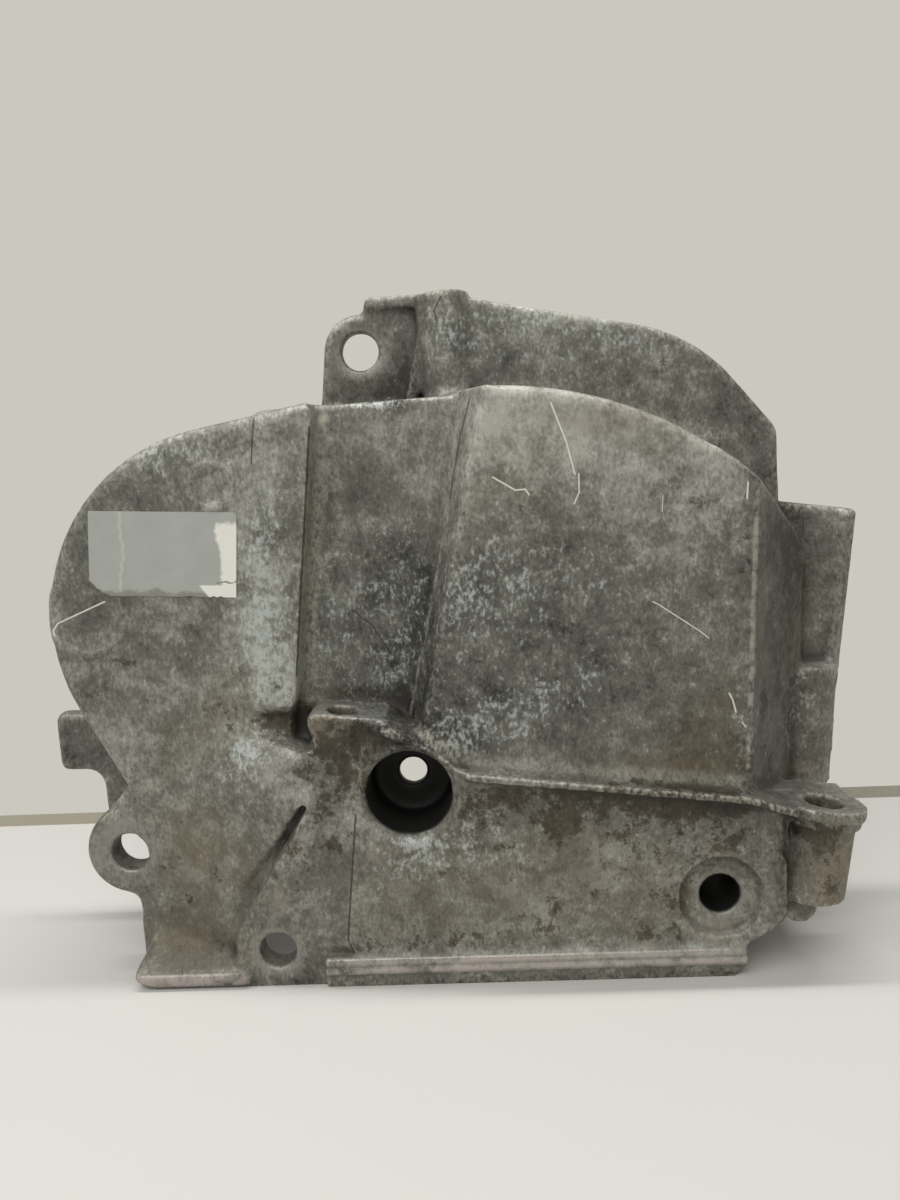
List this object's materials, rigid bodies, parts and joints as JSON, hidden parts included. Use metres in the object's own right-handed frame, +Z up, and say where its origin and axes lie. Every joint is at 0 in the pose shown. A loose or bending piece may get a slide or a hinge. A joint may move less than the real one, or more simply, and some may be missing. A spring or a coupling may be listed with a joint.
{
  "type": "timing cover",
  "caption": "Cast aluminium timing cover with a round sprocket lobe, a sloping bulge, bolt ears and a ribbed ledge over a flat foot; hollow and open at the back.",
  "frame": {"origin": "middle of the outline at the level of the foot, half way between sealing face and front", "axes": "+X across to the wing, +Y back to the engine, +Z up from the foot"},
  "size_m": [0.203, 0.041, 0.157],
  "materials": {
    "cast_aluminium": "weathered as-cast aluminium with oxide and oily grime",
    "label_film": "worn grey film, torn at a corner"
  },
  "bodies": {
    "root": {"cover_casting": "cast_aluminium", "label": "label_film"}
  },
  "joints": []
}
